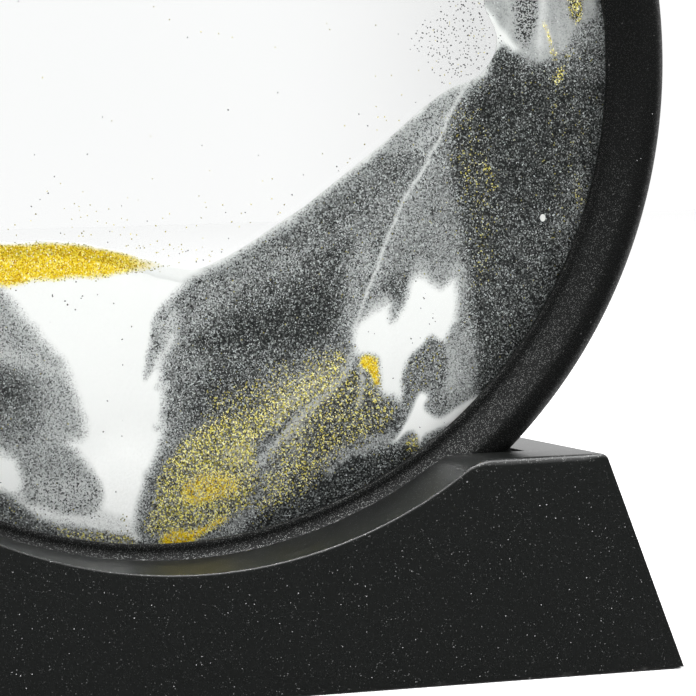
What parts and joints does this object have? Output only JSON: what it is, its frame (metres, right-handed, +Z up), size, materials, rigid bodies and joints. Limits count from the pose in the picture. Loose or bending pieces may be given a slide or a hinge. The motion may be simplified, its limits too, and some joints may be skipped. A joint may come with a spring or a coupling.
{
  "type": "sand picture",
  "caption": "Round liquid sand picture: glass panes with flowing sand in a black ring that turns in, and lifts out of, the groove of a low tapered stand.",
  "frame": {"origin": "on the table, under the middle of the stand", "axes": "+Z up; the picture faces -Y and +X is to its right; the disc turns about the Y direction"},
  "size_m": [0.18, 0.0452, 0.1931],
  "materials": {
    "black_plastic": "fine sparkle texture, satin",
    "base_plastic": "matt",
    "clear_glass": "polished float glass",
    "seal_rubber": "matt",
    "liquid": "clear liquid",
    "black_sand": "black, grey and white grains",
    "white_sand": "fine white sand",
    "gold_sand": "gold glitter grains",
    "screw_steel": "zinc plated",
    "foot_rubber": "matt rubber"
  },
  "bodies": {
    "stand": {"stand_shell": "black_plastic", "base_plate": "base_plastic", "base_screw_1": "screw_steel", "base_screw_2": "screw_steel", "base_screw_3": "screw_steel", "base_screw_4": "screw_steel", "foot_1": "foot_rubber", "foot_2": "foot_rubber", "foot_3": "foot_rubber", "foot_4": "foot_rubber"},
    "liquid": {"liquid_fill": "liquid"},
    "disc": {"front_ring": "black_plastic", "rear_ring": "black_plastic", "front_glass": "clear_glass", "rear_glass": "clear_glass", "spacer_ring": "seal_rubber", "fill_plug": "seal_rubber", "gold_sand": "gold_sand", "black_sand_left": "black_sand", "white_sand": "white_sand", "black_sand_right": "black_sand", "white_sand_pocket": "white_sand"}
  },
  "joints": [
    {"name": "disc_lift", "type": "slide", "parent": "stand", "child": "liquid", "axis": [0, 0, 1], "range_m": [0, 0.03]},
    {"name": "disc_spin", "type": "hinge", "parent": "liquid", "child": "disc", "pos_m": [0, 0, 0.1031], "axis": [0, 1, 0], "continuous": true, "deforming": ["gold_sand", "black_sand_left", "white_sand", "black_sand_right", "white_sand_pocket"]}
  ]
}
